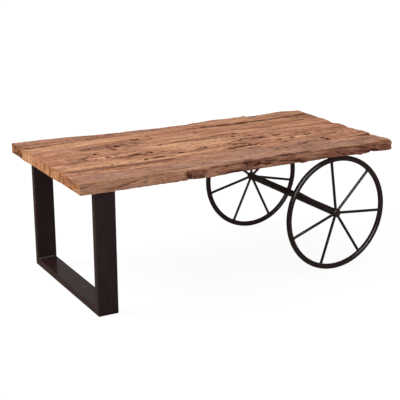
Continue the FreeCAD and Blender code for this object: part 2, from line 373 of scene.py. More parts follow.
def leg_weld_beads():
    """The two inner corner welds. Each is a fillet profile carried along X: two
    legs and, between them, a face whose distance from the corner is the leg's
    length less a share of the sine of twice the turn. It swells and sinks with
    the ripples of the weld, a sine of the place along the bead."""
    leg = 0.0052
    hollow_share = 0.30
    end_share = 0.80
    ripple_pitch = 0.0034
    ripple_depth = 0.00035
    stations, turns = 133, 9
    low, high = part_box("leg_corner_welds")
    along = np.linspace(low.x, high.x, stations)
    turn = np.linspace(0.0, math.pi / 2, turns)
    swell = 1.0 + ripple_depth / leg * np.sin(2 * math.pi * along / ripple_pitch)
    swell[0] = swell[-1] = end_share
    crown = 1.0 - hollow_share * np.sin(2 * turn)
    reach_y = np.append(leg * crown * np.cos(turn), 0.0)
    reach_z = np.append(leg * crown * np.sin(turn), 0.0)
    columns = len(reach_y)
    faces = grid_faces(len(along), columns)
    beads = []
    for side, wall in ((-1, low.y), (1, high.y)):
        x = np.repeat(along[:, None], columns, axis=1)
        y = wall - side * np.outer(swell, reach_y)
        z = low.z + np.outer(swell, reach_z)
        beads.append((np.stack([x, y, z], axis=-1).reshape(-1, 3), faces[:, ::side]))
    shown = piece("leg_weld_beads", *joined(beads), weld_highlight_lacquer, "black_steel")
    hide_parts("leg_corner_welds")


leg_weld_beads()


# The wheels: a round bar bent to a ring, a short sleeve for a hub and seven
# round spokes, welded at both ends, on one round axle. A small plate is welded
# on top of each ring and screwed up into the outer plank.

spoke_count = 7
for name in ("rim", "hub", "wheel_plate"):
    paint_node(name + "_near", lacquer)
    paint_node(name + "_far", lacquer)
for side, number in itertools.product(("near", "far"), range(spoke_count)):
    paint_node("spoke_%s_%d" % (side, number + 1), lacquer)
paint_node("axle", lacquer)


def spoke_weld_beads(side):
    """A thin bead round both ends of each spoke: a small circle carried along the
    line where the round spoke meets the round hub, or the round bar of the rim.
    Along the spoke that line lies at the root of rho squared less the square of
    the point's distance from the spoke's middle in the wheel's plane, rho being
    the hub's radius or the rim's inner surface at the point's distance from that
    plane. The first spoke's turn is the mean of all the spokes' own turns, each
    taken back by its place in the round."""
    bead = 0.0018
    ripples, ripple_share = 9, 0.16
    round_spoke, round_bead = 26, 7
    low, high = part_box("rim_" + side)
    centre = np.array((low + high) / 2)
    rim_half = (high.y - low.y) / 2
    rim_radius = (high.x - low.x) / 2 - rim_half
    hub_low, hub_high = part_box("hub_" + side)
    hub_radius = (hub_high.x - hub_low.x) / 2
    spoke_boxes = [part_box("spoke_%s_%d" % (side, number + 1)) for number in range(spoke_count)]
    spoke_radius = (spoke_boxes[0][1].y - spoke_boxes[0][0].y) / 2
    turns = 2 * math.pi * np.arange(spoke_count) / spoke_count
    middles = np.array([(first + last) / 2 for first, last in spoke_boxes]) - centre
    first_turn = np.angle(((middles[:, 0] + 1j * middles[:, 2]) * np.exp(-1j * turns)).sum())
    around = np.linspace(0.0, 2 * math.pi, round_spoke, endpoint=False)[:, None]
    section = np.linspace(0.0, 2 * math.pi, round_bead, endpoint=False)[None, :]
    swell = bead * (1.0 + ripple_share * np.sin(ripples * around))
    across_plane = spoke_radius * np.cos(around)
    off_plane = spoke_radius * np.sin(around)
    away = swell * np.sin(section)
    rise = swell * np.cos(section)
    spread = 1.0 + away / spoke_radius
    faces = grid_faces(round_spoke + 1, round_bead) % (round_spoke * round_bead)
    beads = []
    for turn in first_turn + turns:
        outward = np.array([math.cos(turn), 0.0, math.sin(turn)])
        beside = np.array([-math.sin(turn), 0.0, math.cos(turn)])
        for at_rim in (False, True):
            rho = rim_radius - np.sqrt(rim_half ** 2 - off_plane ** 2) if at_rim else hub_radius
            meet = np.sqrt(rho ** 2 - across_plane ** 2)
            place = (
                centre
                + (meet + rise)[..., None] * outward
                + (across_plane * spread)[..., None] * beside
                + (off_plane * spread)[..., None] * np.array([0.0, 1.0, 0.0])
            )
            beads.append((place.reshape(-1, 3), faces))
    piece("spoke_weld_beads_" + side, *joined(beads), lacquer, "black_steel")


spoke_weld_beads("near")
spoke_weld_beads("far")


# The top: seven old planks side by side, sawn square at the leg end, broken and
# weathered at the wheel end and along both outer edges, brushed and waxed. Each
# is the outer layer of a lattice of points, rounded and worn as one solid. The
# tables hold millimetres from the leg end, the near edge and the underside.

millimetre = 0.001
plank_count = 7
plank_boxes = [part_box("plank_%d" % (number + 1)) for number in range(plank_count)]
underside = plank_boxes[1][0].z
top_length = cad_box[1].x - cad_box[0].x
plank_joints = [0.0] + [box[1].y - cad_box[0].y for box in plank_boxes]

# Where the wheel end lies, across the width.
wheel_end = [
    (0, 1205), (12, 1208), (30, 1209), (45, 1209), (62, 1206), (74, 1201), (88, 1203), (110, 1201),
    (117, 1192), (126, 1203), (134, 1206), (172, 1208), (190, 1207), (205, 1201), (225, 1202), (242, 1201),
    (251, 1193), (262, 1200), (277, 1203), (304, 1206), (325, 1207), (335, 1200), (346, 1191), (362, 1196),
    (395, 1205), (430, 1210), (443, 1206), (454, 1201), (480, 1208), (505, 1208), (534, 1209), (548, 1205),
    (570, 1207), (595, 1209), (620, 1208), (634, 1206),
]

# Where the far edge lies, along the length.
far_edge = [
    (0, 640), (30, 637), (110, 634), (180, 630), (220, 625), (255, 619), (330, 607), (375, 606), (405, 605),
    (450, 609), (490, 606), (530, 601), (570, 597), (606, 602), (655, 602), (677, 598), (704, 609),
    (750, 613), (798, 619), (824, 622), (867, 618), (917, 622), (938, 619), (951, 629), (958, 632),
    (963, 608), (971, 611), (1003, 610), (1025, 614), (1078, 622), (1106, 628), (1131, 630), (1153, 627),
    (1173, 619), (1214, 613),
]

# Where the near edge lies, and how far its foot rises or hangs, along the length.
near_edge = [
    (0, 0), (200, 1), (375, 0), (382, 3), (392, 0), (470, 0), (570, 3), (600, 1), (640, 1), (728, 2),
    (850, 4), (947, 3), (1090, 1), (1150, 2), (1214, 3),
]
near_foot = [
    (0, -2), (200, -3), (335, -3.5), (345, -2), (370, -4), (381, -1), (399, -3.5), (455, -5), (480, -4),
    (545, -2), (608, -1), (700, 0), (768, -0.5), (788, 1.5), (808, 0), (825, -5), (833, -4), (842, -1),
    (892, -1), (913, 0), (925, 1), (1011, -1), (1051, -2), (1068, -6.5), (1077, -4), (1103, -1), (1112, 4),
    (1130, 1), (1153, -1), (1190, -3), (1214, -2),
]

# How far the planks hang at the leg end, across the width.
leg_end_foot = [
    (0, -1), (45, -1), (120, -1), (156, 0), (193, -2), (230, -3), (300, -2), (450, -2), (509, -5),
    (546, -2), (583, -1), (634, -2),
]

# Cracks, pits and dark lines in the top: from and to, along and across, then
# half width and darkness. In the cracks the darkness is partly painted shade.
top_marks = [
    # The first fifteen marks run along the joint beside the far plank: a dark line that is partly a brown
    # streak and partly a painted shadow of the far plank's raised edge.
    (0, 536, 42, 527, 15, 0.75), (40, 533, 115, 536, 9, 0.7), (105, 536, 205, 539, 7, 0.6),
    (200, 540, 300, 543, 6, 0.45), (295, 545, 400, 540, 6, 0.45), (500, 540, 640, 532, 4, 0.35),
    (635, 529, 700, 523, 8, 0.6), (690, 524, 780, 521, 13, 0.7), (760, 521, 850, 518, 15, 0.85),
    (835, 516, 925, 521, 14, 0.9), (905, 520, 1025, 520, 12, 0.8), (1015, 523, 1085, 530, 11, 0.75),
    (1075, 533, 1130, 532, 13, 0.85), (1120, 532, 1195, 536, 12, 0.8), (1180, 538, 1214, 543, 13, 0.85),
    (340, 598, 370, 592, 7, 0.85), (250, 578, 270, 575, 4, 0.45), (395, 602, 430, 600, 5, 0.6),
    (955, 592, 998, 589, 8, 0.75), (480, 574, 560, 568, 4, 0.45), (640, 565, 760, 560, 4, 0.45),
    (800, 575, 900, 582, 4, 0.4), (1030, 580, 1110, 576, 5, 0.45), (1080, 600, 1150, 604, 5, 0.45),
    (386, 472, 421, 468, 12, 1), (455, 490, 475, 488, 6, 0.55), (455, 462, 470, 459, 6, 0.55),
    (636, 463, 667, 460, 7, 0.65), (678, 470, 705, 468, 4, 0.45), (560, 415, 612, 420, 4, 0.4),
    (1003, 434, 1085, 438, 4, 0.5), (1090, 457, 1150, 458, 7, 0.65), (120, 492, 190, 488, 5, 0.35),
    (840, 470, 935, 476, 4, 0.4), (925, 455, 1010, 452, 4, 0.4), (740, 462, 820, 458, 3, 0.35),
    (165, 417, 198, 409, 8, 0.8), (165, 436, 258, 424, 4, 0.5), (258, 422, 296, 412, 5, 0.55),
    (290, 404, 316, 410, 11, 1), (308, 411, 345, 421, 8, 0.65), (262, 394, 284, 384, 6, 0.75),
    (270, 372, 288, 366, 9, 1), (360, 421, 400, 423, 8, 0.55), (330, 387, 380, 379, 7, 0.45),
    (380, 370, 415, 364, 6, 0.4), (318, 398, 350, 394, 4, 0.5), (60, 402, 130, 398, 3, 0.3),
    (435, 351, 460, 350, 9, 0.95), (466, 350, 548, 347, 4, 0.55), (538, 349, 577, 353, 6, 0.7),
    (565, 349, 698, 344, 7, 0.7), (690, 346, 712, 349, 8, 0.8), (706, 337, 722, 336, 8, 0.8),
    (728, 334, 748, 337, 9, 1), (759, 333, 773, 337, 7, 0.8), (785, 348, 797, 345, 7, 0.6),
    (786, 330, 820, 320, 6, 0.75), (757, 378, 779, 375, 10, 1), (826, 314, 862, 310, 6, 0.65),
    (600, 352, 690, 351, 3, 0.45), (872, 345, 960, 351, 4, 0.45), (1000, 350, 1110, 348, 3, 0.4),
    (180, 333, 203, 336, 9, 0.9), (194, 330, 216, 328, 5, 0.8), (205, 280, 228, 276, 10, 0.85),
    (148, 312, 170, 320, 7, 0.65), (123, 290, 148, 291, 7, 0.75), (110, 276, 152, 266, 4, 0.5),
    (162, 267, 175, 268, 6, 0.5), (90, 342, 110, 334, 5, 0.35), (400, 258, 433, 253, 9, 0.55),
    (216, 254, 282, 253, 7, 0.7), (275, 253, 308, 264, 9, 0.95), (299, 265, 337, 263, 11, 1),
    (328, 254, 343, 243, 7, 0.75), (354, 268, 376, 273, 8, 0.75), (364, 264, 377, 262, 11, 1),
    (540, 231, 578, 239, 8, 0.75), (659, 257, 695, 253, 7, 0.7), (690, 267, 722, 269, 6, 0.65),
    (709, 266, 737, 267, 8, 0.8), (729, 274, 773, 286, 10, 0.85), (786, 280, 803, 271, 9, 1),
    (799, 270, 826, 275, 8, 1), (820, 281, 843, 282, 6, 0.8), (870, 274, 897, 278, 7, 0.85),
    (872, 297, 890, 295, 6, 0.8), (892, 281, 914, 283, 6, 0.7), (1057, 309, 1110, 306, 5, 0.5),
    (1054, 253, 1073, 250, 6, 0.55), (975, 228, 1013, 238, 7, 0.85), (986, 255, 1007, 256, 8, 0.7),
    (966, 269, 990, 276, 8, 0.75), (1003, 240, 1026, 245, 5, 0.65), (925, 308, 1000, 303, 4, 0.4),
    (46, 243, 92, 241, 6, 0.6), (288, 197, 304, 198, 6, 0.6), (308, 189, 324, 190, 9, 1),
    (320, 194, 345, 195, 5, 0.8), (337, 192, 389, 197, 8, 1), (379, 195, 393, 196, 9, 1),
    (388, 191, 431, 189, 6, 0.85), (443, 210, 476, 213, 7, 0.95), (403, 231, 412, 228, 5, 0.35),
    (657, 222, 703, 228, 6, 0.75), (692, 228, 735, 219, 7, 0.85), (786, 220, 817, 227, 5, 0.55),
    (822, 235, 838, 234, 6, 0.6), (857, 213, 872, 212, 9, 1), (858, 182, 871, 166, 9, 1),
    (902, 211, 931, 219, 8, 0.85), (1066, 210, 1113, 206, 7, 0.85), (1047, 212, 1063, 204, 6, 0.7),
    (120, 176, 132, 177, 5, 0.6), (184, 181, 193, 179, 9, 1), (243, 180, 279, 181, 6, 0.45),
    (628, 182, 655, 183, 12, 1), (646, 184, 702, 188, 10, 1), (717, 191, 737, 192, 9, 1),
    (728, 189, 764, 195, 6, 0.75), (759, 180, 770, 172, 8, 0.85), (684, 145, 720, 156, 6, 0.75),
    (711, 155, 750, 157, 5, 0.7), (757, 128, 773, 121, 5, 0.65), (1005, 160, 1017, 148, 13, 1),
    (1004, 134, 1024, 126, 11, 1), (901, 122, 926, 126, 8, 0.9), (920, 129, 950, 133, 5, 0.6),
    (855, 120, 905, 119, 3, 0.45), (1030, 118, 1130, 119, 3, 0.5), (1140, 118, 1214, 116, 8, 0.95),
    (1170, 166, 1214, 165, 5, 0.8), (1165, 250, 1214, 251, 5, 0.7), (1175, 347, 1214, 346, 6, 0.8),
    (1170, 455, 1214, 457, 6, 0.8), (1150, 490, 1214, 486, 4, 0.45), (1185, 205, 1214, 206, 5, 0.6),
    (158, 117, 217, 106, 4, 0.55), (225, 94, 288, 96, 6, 0.7), (90, 84, 142, 83, 3, 0.4),
    (604, 63, 624, 61, 6, 0.6), (756, 90, 782, 86, 5, 0.65), (862, 66, 876, 59, 7, 0.55),
    (300, 74, 360, 70, 3, 0.35), (420, 60, 500, 52, 4, 0.4), (520, 96, 610, 92, 3, 0.35),
    (640, 84, 700, 78, 4, 0.4), (940, 80, 1010, 76, 4, 0.35), (1080, 62, 1150, 66, 4, 0.35),
    (655, 8, 700, 4, 7, 0.8), (590, 18, 645, 12, 6, 0.5), (1060, 22, 1100, 18, 7, 0.45),
    (706, 12, 800, 12, 9, 0.95), (790, 12, 868, 16, 5, 0.85), (585, 3, 618, 6, 9, 0.8),
]

# Cracks and furrows of the near edge: from and to, along and up, then half width
# and darkness.
edge_marks = [
    (0, 20, 28, 21, 3, 0.9), (24, 22, 38, 27, 2, 0.6), (60, 9, 138, 8, 2, 0.6), (92, 7, 130, 11, 2, 0.8),
    (122, 10, 166, 14, 3, 1), (158, 16, 188, 18.5, 2.5, 0.85), (178, 18, 193, 20, 3.5, 1),
    (5, 31, 28, 29.5, 2.5, 0.9), (24, 29, 54, 31, 3, 0.95), (64, 29, 84, 29.5, 2.5, 0.9),
    (76, 30.5, 112, 31, 2, 0.85), (120, 30, 141, 29, 2.5, 0.9), (134, 29, 168, 31, 3, 1),
    (162, 30, 193, 31.5, 2.5, 0.9), (216, 12, 235, 15, 4.5, 0.7), (218, 26, 235, 25, 2.5, 0.5),
    (278, 29, 289, 24, 2.5, 0.65), (292, 25, 301, 17, 2.5, 0.6), (270, 19, 288, 14, 2, 0.55),
    (373, 27, 381, 0, 3.2, 1), (378, 8, 387, 2, 5, 1), (392, 32, 386, 21, 2.5, 0.85),
    (390, 18, 383, 1, 2.5, 1), (391, 10, 406, 3, 3, 0.7), (416, 11, 436, -2, 6, 0.75),
    (455, 27, 491, 28.5, 3.2, 1), (429, 22, 435, 8, 2.5, 0.65), (498, 28, 519, 28, 2.5, 0.7),
    (513, 24, 530, 25, 3, 0.9), (532, 24, 575, 26, 2.5, 0.7), (580, 32, 606, 20, 5, 1),
    (603, 25, 633, 27, 4, 0.7), (633, 26, 659, 14, 4, 0.75), (627, 14, 659, 18, 3.5, 1),
    (661, 13, 694, 14, 4.5, 0.9), (668, 23.5, 716, 21, 3.2, 0.85), (515, 4, 585, 5, 4.5, 0.9),
    (380, 12, 386, 0, 6, 1), (570, 4, 658, 3, 3, 0.55), (708, 31.5, 752, 31.5, 2.5, 0.9),
    (742, 31.5, 782, 31.5, 3.2, 1), (770, 32, 821, 31.5, 3.6, 1), (811, 32, 864, 32, 3.6, 1),
    (684, 31, 702, 31, 2, 0.75), (898, 2, 921, 4, 2.5, 0.8), (763, 12, 832, 6, 3.5, 0.85),
    (714, 17, 773, 12, 3, 0.7), (956, 19, 980, 12, 2.5, 0.7), (987, 8, 1006, 7, 2.5, 0.7),
    (1015, 8, 1039, 7.5, 2.5, 0.8), (436, 14, 449, 20, 2.5, 0.55), (475, 14, 498, 9, 3, 0.55),
    (870, 31, 925, 29, 4, 0.8), (912, 30, 966, 29, 3, 0.7), (970, 29, 1034, 28, 4, 0.8),
    (1036, 28, 1104, 17, 4, 0.7), (1103, 10, 1154, 4, 4.5, 1), (1088, 6, 1116, 5, 3.5, 1),
    (655, 27, 722, 19, 2.5, 0.6), (648, 15, 692, 16, 3, 0.7), (1124, 26, 1137, 18, 5, 0.6),
    (1150, 22, 1200, 18, 2.5, 0.6), (840, 20, 930, 15, 3, 0.6), (300, 4, 372, 6, 2.5, 0.6),
    (240, 20, 300, 9, 2, 0.5), (1040, 14, 1100, 9, 3, 0.7),
]

# Patches of tone on the near edge: middle along and up, half length and half
# height, then warmth (light orange), grey and darkness.
side_patches = [
    (408, 13, 34, 17, -0.7, 0, 0.28), (372, 22, 14, 10, -0.5, 0, 0.18), (616, 21, 34, 10, -0.8, 0, 0.36),
    (545, 7, 50, 7, -0.5, 0, 0.15), (470, 12, 26, 8, 0.7, 0, 0), (560, 17, 40, 6, 1, 0, 0),
    (700, 8, 60, 7, 0.6, 0, 0), (860, 20, 60, 7, 0.5, 0, 0), (812, 8, 30, 10, -0.3, 0, 0.25),
    (250, 14, 40, 10, 0.5, 0, 0), (120, 14, 110, 14, 0.3, 0, 0), (235, 3, 60, 6, -0.1, 0, 0.14),
    (1185, 14, 26, 18, -0.2, 0, 0.16),
]

# Checks and stains of the sawn leg end: from and to, across and up, then half
# width and darkness.
end_marks = [
    (263, -2, 264, 36, 4, 0.75), (256, 2, 257, 30, 3, 0.35), (310, 4, 308, 36, 5, 0.5),
    (396, -2, 394, 18, 4, 0.5), (172, -2, 173, 36, 5, 0.65), (176, 10, 168, 34, 3, 0.45),
    (136, 4, 140, 28, 5, 0.6), (146, 0, 130, 12, 4, 0.6), (550, 2, 538, 17, 7, 1),
    (590, 4, 556, 20, 6, 0.7), (630, 0, 575, 8, 6, 0.7), (445, 8, 448, 36, 3, 0.4),
    (60, 22, 10, 16, 3, 0.45), (110, 26, 50, 22, 3, 0.45), (40, 6, 6, 8, 3, 0.4),
    (340, 24, 352, 34, 4, 0.45), (210, 26, 240, 30, 4, 0.35), (100, 4, 60, 6, 4, 0.35),
]

# Patches of tone on the sawn leg end: middle across and up, half width and half
# height, then warmth (light orange), grey and darkness.
end_patches = [
    (610, 26, 24, 14, 0, 0, 0.3), (590, 18, 48, 24, -0.3, 0, 0.38), (528, 22, 20, 16, 0, 0, 0.18),
    (500, 33, 40, 8, -0.1, 0, 0.12), (505, 18, 30, 20, 0.6, 0, 0), (465, 16, 34, 18, 0.9, 0, 0),
    (400, 20, 26, 20, 0.3, 0, 0.05), (335, 18, 18, 18, 0.4, 0, 0.05), (285, 8, 20, 12, 0.6, 0, 0),
    (215, 16, 26, 18, 0.5, 0, 0), (185, 28, 18, 10, 0.2, 0, 0), (60, 24, 62, 16, -0.4, 0, 0.1),
    (20, 10, 34, 14, 0.6, 0, 0), (150, 12, 16, 14, 0, 0, 0.15),
]

# Patches of tone on the top: middle along and across, half length and half
# width, then warmth (light orange), grey and darkness.
tone_patches = [
    (560, 300, 215, 40, 1, 0, 0), (460, 322, 100, 22, 0.6, 0, 0), (640, 312, 110, 16, 0.5, 0, 0),
    (260, 214, 200, 18, 1, 0, 0), (500, 216, 120, 11, 0.85, 0, 0), (40, 215, 90, 20, 0.6, 0, 0),
    (130, 480, 230, 42, 0.5, 0, 0), (480, 500, 180, 20, 0.4, 0, 0), (240, 350, 60, 14, 0.5, 0, 0),
    (960, 228, 40, 10, 1, 0, 0), (890, 232, 40, 9, 0.8, 0, 0), (1090, 165, 90, 22, 0.15, 0, 0.06),
    (880, 555, 250, 18, 0.45, 0, 0), (1000, 480, 240, 22, 0.3, 0, 0), (215, 305, 40, 10, 0.5, 0.2, 0),
    (110, 288, 100, 16, 0, 0, 0.08), (545, 400, 90, 34, 0, 0.45, 0), (80, 420, 110, 24, 0, 0.45, 0),
    (230, 396, 70, 22, 0, 0.55, 0.1), (370, 405, 60, 36, 0, 0.45, 0.3), (150, 590, 150, 26, 0, 0.35, 0.05),
    (460, 560, 120, 30, 0, 0.35, 0.1), (300, 60, 340, 60, 0, 0.6, 0.05), (450, 68, 120, 22, 0.1, 0.95, 0),
    (640, 50, 60, 26, 0.1, 0.95, 0), (90, 70, 90, 40, 0.05, 0.8, 0), (1010, 75, 200, 48, 0, 1, 0.15),
    (760, 110, 160, 60, 0, 0.65, 0.08), (420, 585, 430, 50, -0.1, 0.25, 0.15),
    (150, 60, 200, 60, 0, 0, 0.08), (930, 155, 85, 36, 0, 0.6, 0.14), (560, 155, 240, 36, 0, 0.4, 0.1),
    (760, 270, 130, 50, 0.2, 0.1, 0), (960, 300, 200, 50, 0, 0.15, 0), (740, 300, 60, 12, 0.6, 0, 0),
    (660, 248, 110, 14, 0, 0, 0.16), (845, 246, 50, 9, 0.7, 0, 0), (210, 537, 250, 17, 0, 0, 0.27),
    (150, 328, 60, 16, 0, 0, 0.22), (650, 328, 80, 16, 0, 0, 0.16), (220, 170, 285, 19, -0.25, 0.05, 0.52),
    (310, 368, 110, 14, 0, 0, 0.1), (60, 128, 55, 16, 0, 0, 0.2), (970, 208, 150, 14, 0, 0, 0.18),
    (960, 168, 170, 16, 0, 0, 0.08), (1170, 125, 60, 24, 0, 0, 0.1), (950, 12, 300, 20, 0, 0.1, 0.55),
    (1150, 85, 70, 26, 0, 0, 0.08), (570, 405, 150, 18, 0.6, 0, 0), (580, 370, 120, 14, 0.9, 0, 0),
    (960, 368, 190, 16, 0.6, 0, 0), (470, 60, 110, 50, 0.3, 0.6, 0), (290, 450, 110, 18, 0.75, 0, 0),
    (540, 16, 60, 14, 0.4, 0.6, 0), (20, 585, 80, 46, 0, 0.1, 0.14), (600, 352, 110, 12, 0, 0, 0.2),
    (1150, 480, 90, 22, 0, 0, 0.3), (1090, 545, 140, 16, 0.15, 0, 0.24), (700, 345, 50, 12, 0.15, 0, 0.3),
    (110, 285, 40, 30, 0, 0.1, 0.25), (300, 300, 110, 22, 0, 0.3, 0.15), (900, 330, 120, 26, 0.2, 0, 0),
    # The dark patch at 1192 along and 129 across is painted shade: the shaded end grain of the second
    # plank, which stands higher.
    (1035, 130, 28, 10, 1, 0, 0), (1192, 129, 15, 10, 0, 0, 0.85), (1195, 20, 24, 26, -0.4, 0.1, 0.35),
    (790, 40, 120, 26, -0.3, 0.4, 0), (620, 30, 170, 22, -0.25, 0.3, 0), (614, 8, 34, 12, -0.8, 0, 0.32),
    (432, 5, 38, 8, 0.2, 1, 0), (950, 17, 46, 11, -0.1, 0, 0.16), (1115, 17, 110, 11, 0, 0, 0.1),
    (1050, 90, 46, 16, -0.1, 0, 0.09), (250, 128, 145, 14, 0.3, 0, -0.08),
    (350, 495, 46, 16, -0.1, 0, 0.09), (400, 538, 90, 14, -0.1, 0, 0.07), (700, 545, 90, 12, 0.3, 0, 0),
    (200, 578, 95, 14, 0.3, 0, -0.05), (1050, 580, 60, 18, 0.4, 0, 0), (620, 366, 90, 14, 0.4, 0, 0),
    (1165, 535, 40, 16, 0.3, 0, 0), (1020, 590, 120, 24, 0, 0.3, 0.15), (540, 235, 60, 16, 0, 0, 0.35),
]

# The pith of each plank, across and up, which its rings run round.
piths = [(50, -60), (150, -35), (230, -50), (290, -30), (400, -55), (480, -40), (610, -50)]


def random_field(place, cell, seed):
    """Smooth random values from -1 to 1 over places: every corner of a lattice of
    cells holds a random number, and a place takes the smooth blend of the eight
    corners round it, each weighted by its nearness."""
    count = 65536
    primes = np.array([1619, 31337, 6971])
    numbers = np.random.default_rng(seed).uniform(-1.0, 1.0, count)
    scaled = place / np.asarray(cell)
    base = np.floor(scaled).astype(np.int64)
    share = scaled - base
    share = share * share * (3.0 - 2.0 * share)
    total = np.zeros(place.shape[:-1])
    for corner in itertools.product((0, 1), repeat=3):
        key = (base + corner) @ primes
        weight = np.where(corner, share, 1.0 - share).prod(axis=-1)
        total += weight * numbers[key % count]
    return total


def along_only(along):
    """Places on the X axis, for random values that vary along the plank alone."""
    return np.stack([along, np.zeros_like(along), np.zeros_like(along)], axis=-1)


def smooth_step(value):
    """0 below 0, 1 above 1, and three squares less two cubes between."""
    share = np.clip(value, 0.0, 1.0)
    return share * share * (3.0 - 2.0 * share)


def lens_field(first, second, marks):
    """Depth, darkness and rim of long thin lenses over two coordinates. A lens
    is widest halfway, as the root of 4 t (1 - t) of the share t of its run, flat
    and darkest over three quarters of its width, and fades to nothing by a
    smooth step. Its depth is a share of its width and darkness; in the top's
    cracks the darkness is partly painted shade. The rim round it, out to a
    share of its width, is worn wood with a painted highlight on its lit lip."""
    depth_share = 0.30
    fade_share, fade_steepness = 1.15, 2.5
    worn_and_lit_rim_share = 2.2
    depth = np.zeros(first.shape)
    dark = np.zeros(first.shape)
    worn_and_lit_rim = np.zeros(first.shape)
    for from_u, from_v, to_u, to_v, half_width, darkness in marks:
        u0, v0 = from_u * millimetre, from_v * millimetre
        run_u, run_v = to_u * millimetre - u0, to_v * millimetre - v0
        run = math.hypot(run_u, run_v)
        share = ((first - u0) * run_u + (second - v0) * run_v) / run ** 2
        away = np.abs((first - u0) * run_v - (second - v0) * run_u) / run
        width = half_width * millimetre * np.sqrt(np.clip(4.0 * share * (1.0 - share), 0.0, 1.0))
        off = away / np.maximum(width, 1e-9)
        inside = smooth_step(fade_steepness * (fade_share - off))
        depth = np.maximum(depth, depth_share * darkness * half_width * millimetre * inside)
        dark = np.maximum(dark, darkness * inside)
        worn_and_lit_rim = np.maximum(worn_and_lit_rim, darkness * smooth_step(worn_and_lit_rim_share - off))
    return depth, dark, worn_and_lit_rim * (1.0 - dark)


def parted_grain(along, across):
    """Where the grain that passes a point comes from, across the width. It parts
    round the short wide marks, which are knots, as a stream does round a post:
    the point's distance from the knot's middle is multiplied by 1 - 1 / (r
    squared + 1), with r the distance as a share of the knot's reach."""
    knot_width, knot_run = 8, 40
    run_reach, width_reach = 2.0, 1.5
    origin = across.copy()
    for from_u, from_v, to_u, to_v, half_width, darkness in top_marks:
        if half_width < knot_width or to_u - from_u > knot_run:
            continue
        u0 = (from_u + to_u) / 2 * millimetre
        v0 = (from_v + to_v) / 2 * millimetre
        reach_u = run_reach * (to_u - from_u) * millimetre
        reach_v = width_reach * half_width * millimetre
        spread = ((along - u0) / reach_u) ** 2 + ((across - v0) / reach_v) ** 2
        origin += (v0 - across) / (spread + 1.0)
    return origin


def lattice_skin(x_shares, y_shares, z_shares):
    """The outer layer of a lattice: its points as shares of the three sides, and
    four-sided faces that look outwards."""
    counts = (len(x_shares), len(y_shares), len(z_shares))
    outer = np.ones(counts, bool)
    outer[1:-1, 1:-1, 1:-1] = False
    number = np.full(counts, -1)
    number[outer] = np.arange(outer.sum())
    place = np.argwhere(outer)
    shares = np.stack([x_shares[place[:, 0]], y_shares[place[:, 1]], z_shares[place[:, 2]]], axis=-1)
    faces = []
    for axis, turned in ((0, True), (1, False), (2, True)):
        for layer, flip in ((0, turned), (-1, not turned)):
            sheet = np.take(number, layer, axis=axis)
            corners = [sheet[:-1, :-1], sheet[1:, :-1], sheet[1:, 1:], sheet[:-1, 1:]]
            quads = np.stack(corners, axis=-1).reshape(-1, 4)
            faces.append(quads[:, ::-1] if flip else quads)
    return shares, np.concatenate(faces)


def spaced(length, step, rim, rim_step):
    """Shares of a length: even steps in the middle, and small ones near both ends."""
    fine = np.arange(0.0, rim, rim_step)
    middle = np.linspace(rim, length - rim, int(round((length - 2 * rim) / step)) + 1)
    return np.concatenate([fine, middle, length - fine[::-1]]) / length


def from_table(place, table):
    """Straight runs between the pairs of a table, in metres."""
    pairs = np.array(table) * millimetre
    return np.interp(place, pairs[:, 0], pairs[:, 1])


def rounded_box(number, shares):
    """Places and outward directions on a plank before it is worn.

    The shares become a box between the plank's two long edges, its two ends and
    its faces, and its long arrises are rounded: a point less than the radius
    from two sides is moved onto a circle about the point at that radius from
    both. The radius wanders along the arris."""
    fray = 0.0014
    edge_arris, edge_vary, edge_run = 0.0038, 0.0018, 0.05
    joint_arris, joint_vary, joint_run = 0.0012, 0.0006, 0.07
    lower_edge_radius, lower_joint_radius = 0.0020, 0.0006
    along_share, near_share, up_share = shares.T
    along = along_share * top_length
    line = along_only(along)
    first, last = number == 0, number == plank_count - 1
    rough = random_field(line, (0.012, 1, 1), number + 10)
    rough += 0.6 * random_field(line, (0.004, 1, 1), number + 20)
    near = from_table(along, near_edge) + fray * rough if first else plank_joints[number]
    far = from_table(along, far_edge) + fray * rough if last else plank_joints[number + 1]
    thick = plank_boxes[number][1].z - underside
    across = near + near_share * (far - near)
    height = up_share * thick

    nearer = near_share < 0.5
    upper = up_share > 0.5
    outer = (first & nearer) | (last & ~nearer)
    joint_radius = joint_arris + joint_vary * random_field(line, (joint_run, 1, 1), number + 30)
    edge_radius = edge_arris + edge_vary * random_field(line, (edge_run, 1, 1), number + 40)
    upper_radius = np.where(outer, edge_radius, joint_radius)
    radius = np.where(upper, upper_radius, np.where(outer, lower_edge_radius, lower_joint_radius))
    from_side = np.minimum(across - near, far - across)
    from_face = np.where(upper, thick - height, height)
    in_y = np.clip(radius - from_side, 0.0, None) * np.where(nearer, -1.0, 1.0)
    in_z = np.clip(radius - from_face, 0.0, None) * np.where(upper, 1.0, -1.0)
    on_side = (near_share % 1.0 == 0.0) | (up_share % 1.0 == 0.0)
    reach = np.maximum(np.hypot(in_y, in_z), 1e-9)
    moved = np.where(on_side, radius / reach - 1.0, 0.0)
    place = np.stack([along, across + in_y * moved, height + in_z * moved], axis=-1)
    end = np.where(along_share == 0.0, -1.0, np.where(along_share == 1.0, 1.0, 0.0))
    out = np.stack([end * radius, np.where(on_side, in_y, 0.0), np.where(on_side, in_z, 0.0)], axis=-1)
    return place, out / np.maximum(np.linalg.norm(out, axis=-1, keepdims=True), 1e-9)


def patch_field(first, second, ragged, patches):
    """Warmth, grey and darkness of oval patches over two coordinates, full inside
    and gone a little past their half sizes, with a ragged border."""
    gone_share, fade_share = 1.25, 0.7
    tone = np.zeros((len(first), 3))
    for middle_u, middle_v, half_u, half_v, warm, grey, dark in patches:
        off_u = (first - middle_u * millimetre) / (half_u * millimetre)
        off_v = (second - middle_v * millimetre) / (half_v * millimetre)
        inside = smooth_step((gone_share - np.hypot(off_u, off_v) + ragged) / fade_share)
        tone += inside[:, None] * np.array([warm, grey, dark])
    return tone


